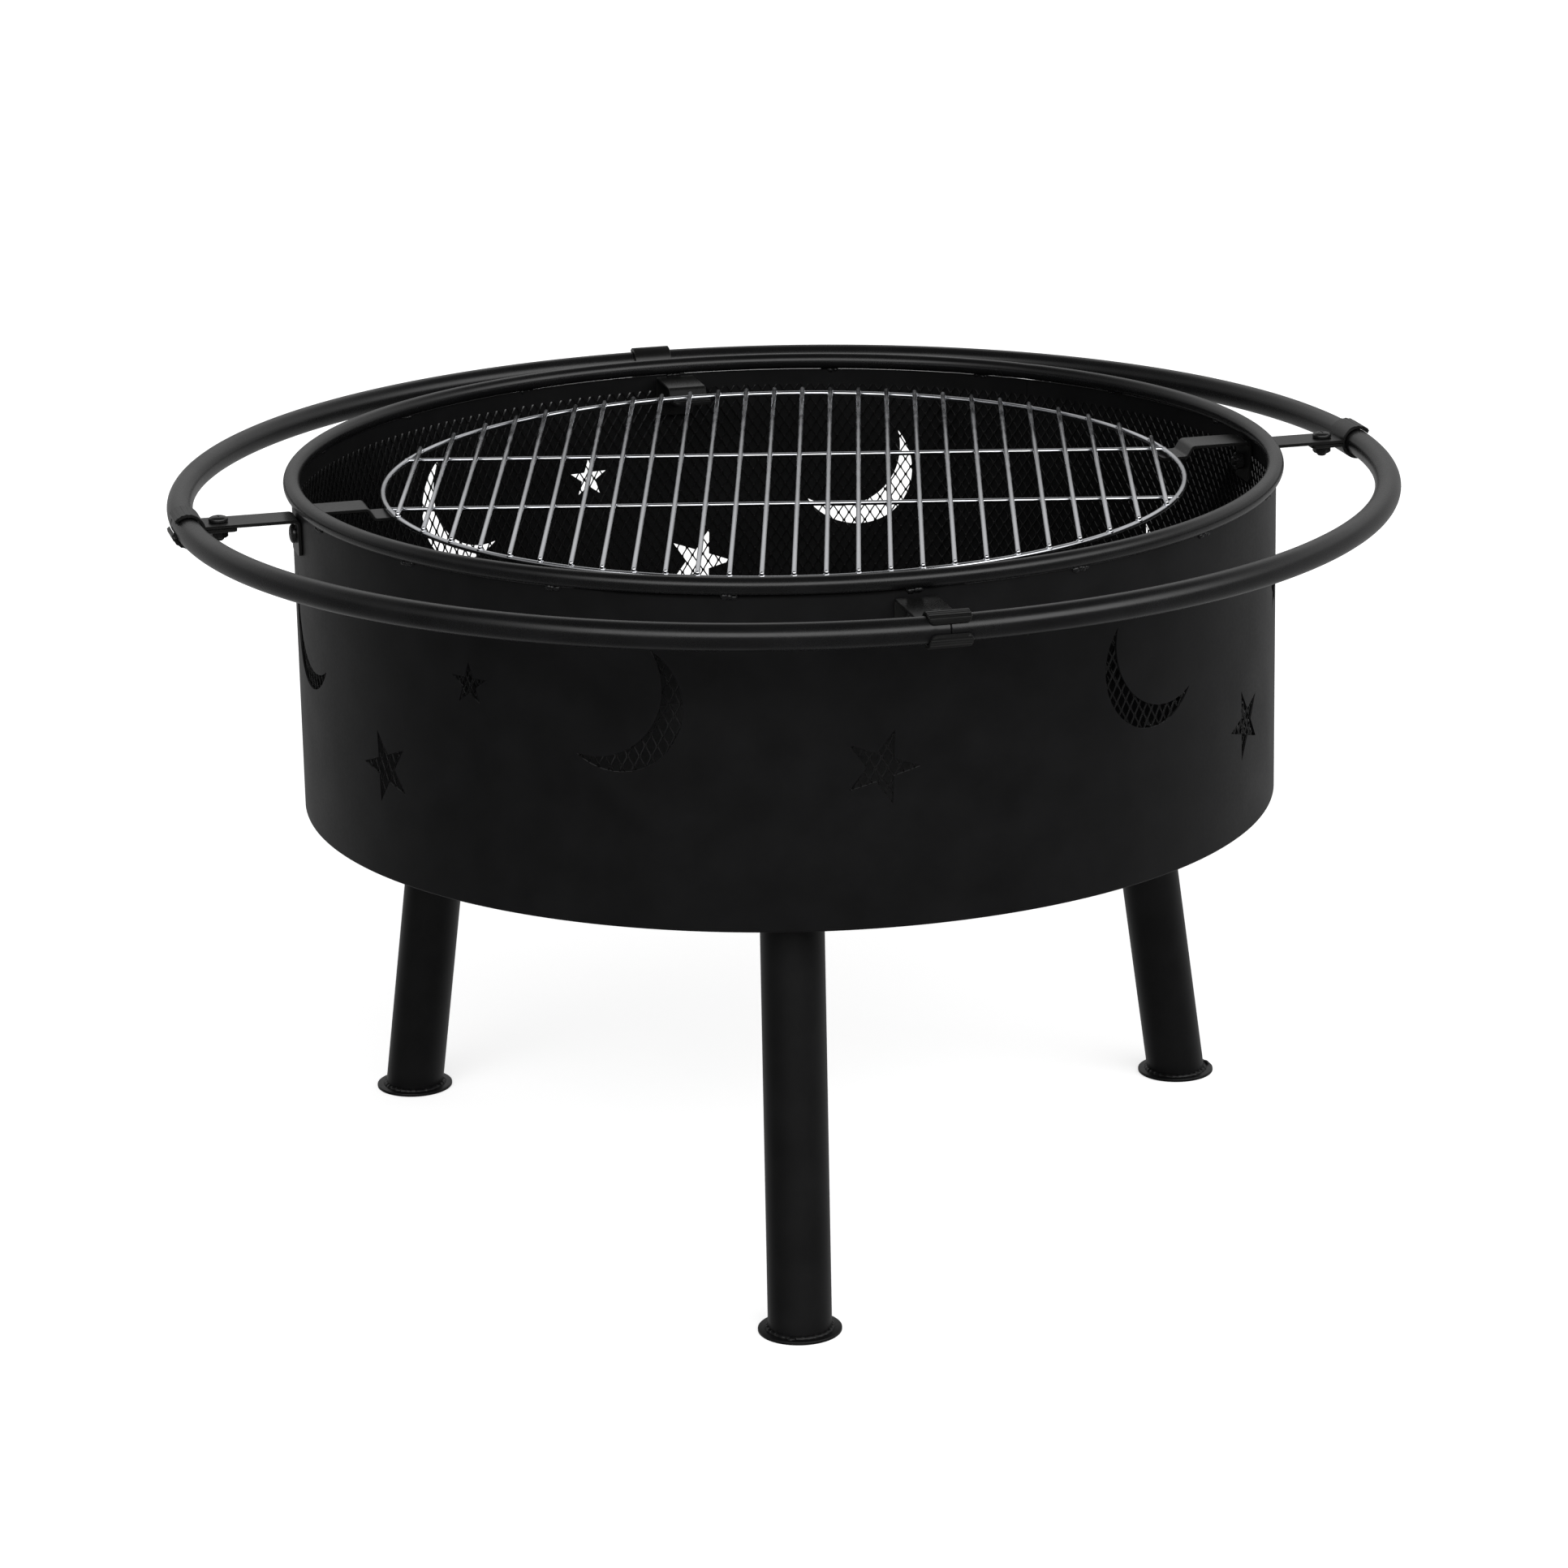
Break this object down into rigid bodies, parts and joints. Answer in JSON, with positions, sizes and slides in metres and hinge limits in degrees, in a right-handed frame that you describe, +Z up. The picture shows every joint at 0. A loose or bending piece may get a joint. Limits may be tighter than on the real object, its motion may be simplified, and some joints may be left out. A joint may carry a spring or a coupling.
{
  "type": "fire pit with grate",
  "caption": "Round steel fire pit: drum with moon and star cut-outs and a mesh liner, lift-off cooking grate, tubular handrail on clamp brackets, splayed legs.",
  "frame": {"origin": "on the drum's axis at ground level, between the feet", "axes": "+Z up; -Y towards the front leg; +X to the right seen from the front"},
  "size_m": [0.7618, 0.7618, 0.4617],
  "materials": {
    "drum_paint": "black heat-resistant satin paint on sheet steel",
    "rail_paint": "black satin powder coat on tube and rim rod",
    "bracket_paint": "black semi-gloss paint on pressed strip",
    "mesh_paint": "black painted expanded metal",
    "leg_paint": "black satin paint on tube",
    "hardware": "black-finished steel fasteners",
    "chrome_wire": "bright chromed wire"
  },
  "bodies": {
    "fire_pit": {"drum_wall": "drum_paint", "drum_floor": "drum_paint", "mesh_liner": "mesh_paint", "rim_bead": "rail_paint", "handrail_right_back": "rail_paint", "handrail_back_left": "rail_paint", "handrail_left_front": "rail_paint", "handrail_front_right": "rail_paint", "handrail_arm_right": "bracket_paint", "handrail_arm_back": "bracket_paint", "handrail_arm_left": "bracket_paint", "handrail_arm_front": "bracket_paint", "clamp_strap_right": "bracket_paint", "clamp_strap_back": "bracket_paint", "clamp_strap_left": "bracket_paint", "clamp_strap_front": "bracket_paint", "grate_support_right": "bracket_paint", "grate_support_back": "bracket_paint", "grate_support_left": "bracket_paint", "grate_support_front": "bracket_paint", "wall_bolt_right": "hardware", "wall_bolt_back": "hardware", "wall_bolt_left": "hardware", "wall_bolt_front": "hardware", "wall_nut_right": "hardware", "wall_nut_back": "hardware", "wall_nut_left": "hardware", "wall_nut_front": "hardware", "clamp_bolt_right": "hardware", "clamp_bolt_back": "hardware", "clamp_bolt_left": "hardware", "clamp_bolt_front": "hardware", "clamp_nut_right": "hardware", "clamp_nut_back": "hardware", "clamp_nut_left": "hardware", "clamp_nut_front": "hardware", "leg_tube_front": "leg_paint", "leg_tube_right": "leg_paint", "leg_tube_left": "leg_paint", "leg_plate_front": "leg_paint", "leg_plate_right": "leg_paint", "leg_plate_left": "leg_paint", "foot_disc_front": "leg_paint", "foot_disc_right": "leg_paint", "foot_disc_left": "leg_paint", "leg_bolt_front_1": "hardware", "leg_bolt_front_2": "hardware", "leg_bolt_right_1": "hardware", "leg_bolt_right_2": "hardware", "leg_bolt_left_1": "hardware", "leg_bolt_left_2": "hardware", "leg_nut_front_1": "hardware", "leg_nut_front_2": "hardware", "leg_nut_right_1": "hardware", "leg_nut_right_2": "hardware", "leg_nut_left_1": "hardware", "leg_nut_left_2": "hardware"},
    "grate": {"cooking_grate": "chrome_wire"}
  },
  "joints": [
    {"name": "grate_lift", "type": "slide", "parent": "fire_pit", "child": "grate", "axis": [0, 0, 1], "range_m": [0, 0.2]}
  ]
}
